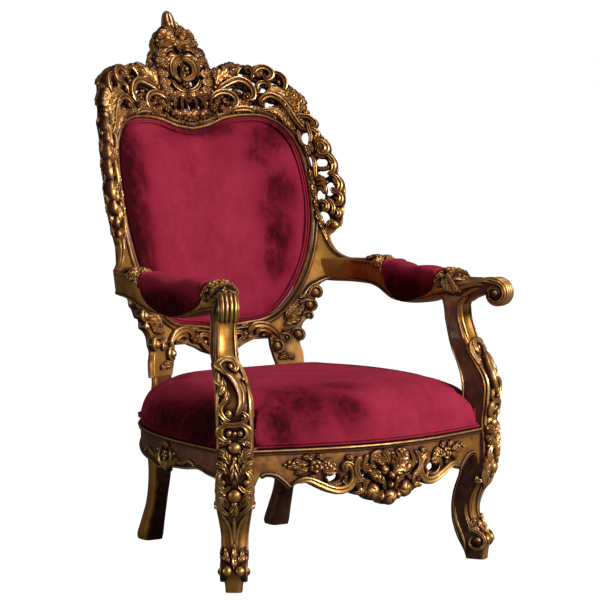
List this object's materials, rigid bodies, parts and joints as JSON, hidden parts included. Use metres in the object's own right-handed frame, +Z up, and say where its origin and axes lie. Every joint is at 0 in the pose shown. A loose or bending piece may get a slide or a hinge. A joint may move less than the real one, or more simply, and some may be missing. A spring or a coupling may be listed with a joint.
{
  "type": "throne",
  "caption": "High-backed giltwood throne with a pierced crest and wings, a wrap-around velvet back, a crowned velvet seat and padded scroll arms.",
  "frame": {"origin": "on the floor, under the middle of the throne's overall box", "axes": "+Z up, the throne faces -Y, +X to the right as seen from the front"},
  "size_m": [0.9322, 1.1521, 1.5],
  "materials": {
    "gilt_wood": "antique gold leaf and bronze paint over carved hardwood, dark in the recesses, semi-gloss",
    "red_velvet": "crushed burgundy velvet with a mottled pile"
  },
  "bodies": {
    "root": {"crest_rail": "gilt_wood", "back_post_left": "gilt_wood", "back_post_right": "gilt_wood", "low_back_rail": "gilt_wood", "front_leg_left": "gilt_wood", "front_leg_right": "gilt_wood", "arm_left": "gilt_wood", "arm_right": "gilt_wood", "front_rail": "gilt_wood", "side_rail_left": "gilt_wood", "side_rail_right": "gilt_wood", "rear_rail": "gilt_wood", "seat_cushion": "red_velvet", "back_cushion": "red_velvet", "outside_back": "red_velvet", "arm_pad_left": "red_velvet", "arm_pad_right": "red_velvet"}
  },
  "joints": []
}
